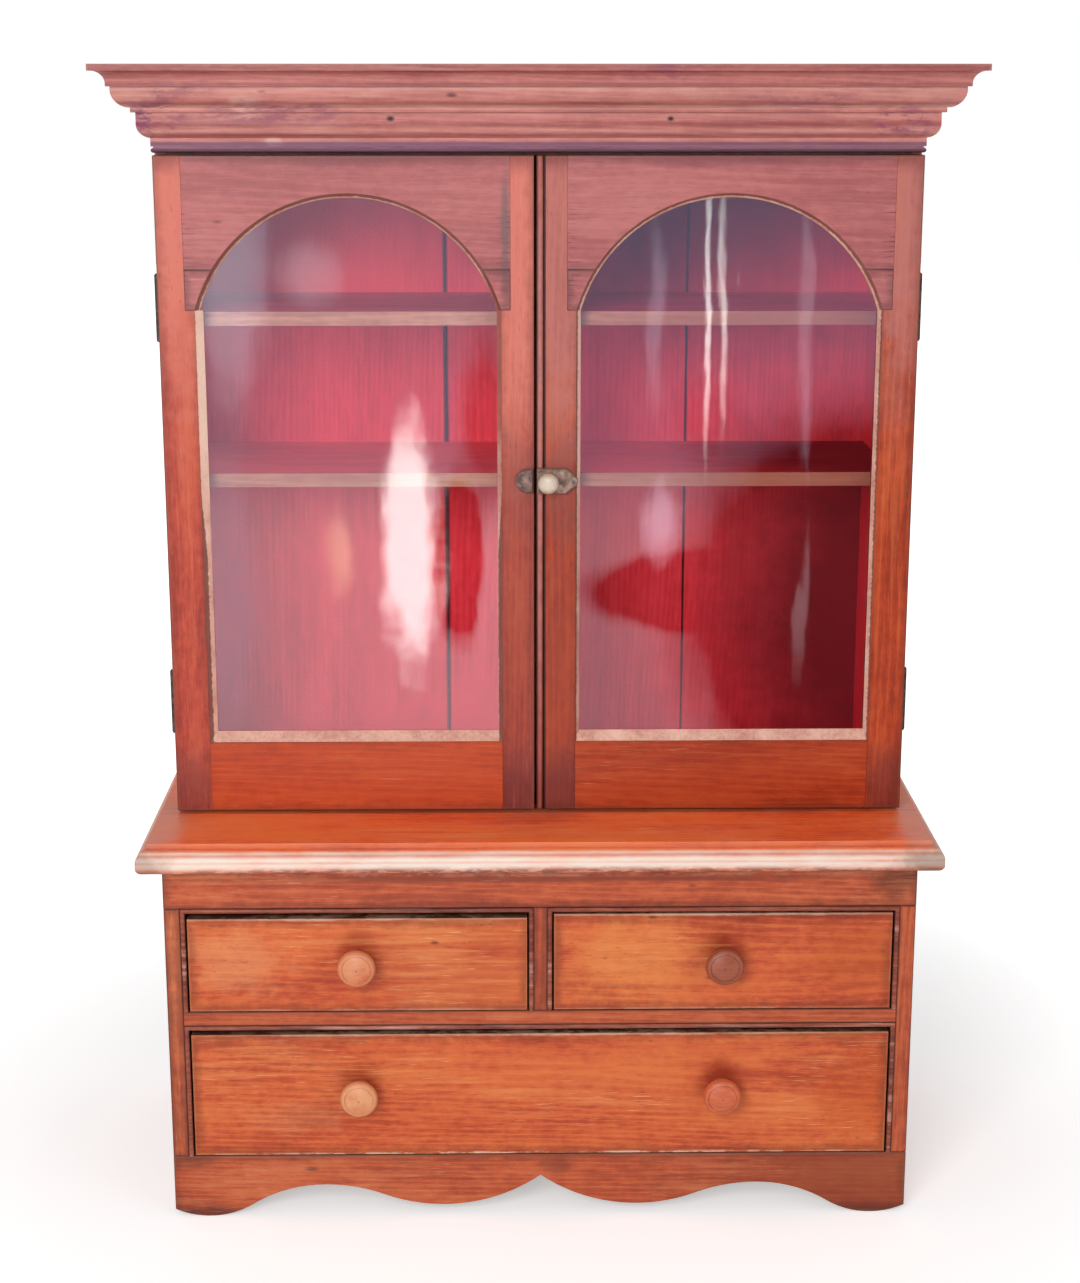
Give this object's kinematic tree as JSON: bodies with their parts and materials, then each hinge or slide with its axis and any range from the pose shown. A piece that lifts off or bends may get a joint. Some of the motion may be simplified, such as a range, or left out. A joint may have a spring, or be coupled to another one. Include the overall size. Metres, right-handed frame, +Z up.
{
  "type": "glass-door step-back cupboard",
  "caption": "Free-standing wooden step-back cupboard: drawers in a scalloped base, a moulded waist board, shelves behind arched glass doors with a turn latch, and a stepped cornice.",
  "frame": {"origin": "on the floor, under the middle of the bounding box", "axes": "+X to the right of someone facing the doors, +Y to the back, +Z up"},
  "size_m": [0.999, 0.421, 1.371],
  "materials": {
    "stained_wood": "red-brown stain, rubbed and worn at the edges",
    "red_painted_wood": "matt crimson paint",
    "plain_wood": "bare softwood",
    "turned_wood": "stained, handled smooth",
    "window_glass": "old window glass, slightly wavy",
    "glazing_putty": "hard putty, painted and worn",
    "brass": "dull, rubbed",
    "old_iron": "dark, dull"
  },
  "bodies": {
    "carcass": {"base_side_left": "stained_wood", "base_side_right": "stained_wood", "base_top_rail": "stained_wood", "base_stile_left": "stained_wood", "base_stile_right": "stained_wood", "base_mid_rail": "stained_wood", "base_bottom_rail": "plain_wood", "base_muntin": "stained_wood", "base_apron": "stained_wood", "base_back_boards": "plain_wood", "drawer_beads": "stained_wood", "drawer_runners": "plain_wood", "drawer_guides": "plain_wood", "drawer_stops": "plain_wood", "waist_board": "stained_wood", "upper_side_left": "stained_wood", "upper_side_right": "stained_wood", "upper_back_boards": "red_painted_wood", "upper_bottom_board": "red_painted_wood", "upper_top_board": "plain_wood", "shelf_lower": "red_painted_wood", "shelf_upper": "red_painted_wood", "cornice_front": "stained_wood", "cornice_right": "stained_wood", "cornice_left": "stained_wood", "cornice_blocks": "plain_wood", "hinge_case_leaves": "old_iron", "hinge_pins": "old_iron"},
    "left_door": {"left_door_hinge_stile": "stained_wood", "left_door_meeting_stile": "stained_wood", "left_door_bottom_rail": "stained_wood", "left_door_head": "stained_wood", "left_door_ears": "stained_wood", "left_door_glass": "window_glass", "left_door_putty": "glazing_putty", "left_door_hinge_leaves": "old_iron", "latch_keeper": "old_iron"},
    "right_door": {"right_door_hinge_stile": "stained_wood", "right_door_meeting_stile": "stained_wood", "right_door_bottom_rail": "stained_wood", "right_door_head": "stained_wood", "right_door_ears": "stained_wood", "right_door_glass": "window_glass", "right_door_putty": "glazing_putty", "right_door_hinge_leaves": "old_iron", "latch_case": "old_iron"},
    "latch_knob": {"latch_knob": "brass"},
    "latch_bolt": {"latch_bolt": "old_iron"},
    "left_drawer": {"left_drawer_front": "stained_wood", "left_drawer_box": "plain_wood", "left_drawer_bottom": "plain_wood", "left_drawer_knob": "turned_wood"},
    "right_drawer": {"right_drawer_front": "stained_wood", "right_drawer_box": "plain_wood", "right_drawer_bottom": "plain_wood", "right_drawer_knob": "turned_wood"},
    "long_drawer": {"long_drawer_front": "stained_wood", "long_drawer_box": "plain_wood", "long_drawer_bottom": "plain_wood", "long_drawer_knob": "turned_wood"}
  },
  "joints": [
    {"name": "left_door_hinge", "type": "hinge", "parent": "carcass", "child": "left_door", "pos_m": [-0.4425, -0.054, 0.87975], "axis": [0, 0, -1], "range_deg": [0, 170]},
    {"name": "right_door_hinge", "type": "hinge", "parent": "carcass", "child": "right_door", "pos_m": [0.4425, -0.054, 0.87975], "axis": [0, 0, 1], "range_deg": [0, 170]},
    {"name": "left_drawer_slide", "type": "slide", "parent": "carcass", "child": "left_drawer", "axis": [0, -1, 0], "range_m": [0, 0.26]},
    {"name": "right_drawer_slide", "type": "slide", "parent": "carcass", "child": "right_drawer", "axis": [0, -1, 0], "range_m": [0, 0.26]},
    {"name": "long_drawer_slide", "type": "slide", "parent": "carcass", "child": "long_drawer", "axis": [0, -1, 0], "range_m": [0, 0.26]},
    {"name": "latch_knob_turn", "type": "hinge", "parent": "right_door", "child": "latch_knob", "pos_m": [0.01025, -0.0745, 0.8955], "axis": [0, -1, 0], "range_deg": [0, 80]},
    {"name": "latch_bolt_slide", "type": "slide", "parent": "right_door", "child": "latch_bolt", "axis": [-1, 0, 0], "range_m": [0, 0.009]}
  ],
  "couplings": [
    {"joint": "latch_knob_turn", "follows": "latch_bolt_slide", "rad_per_m": 155.16}
  ]
}
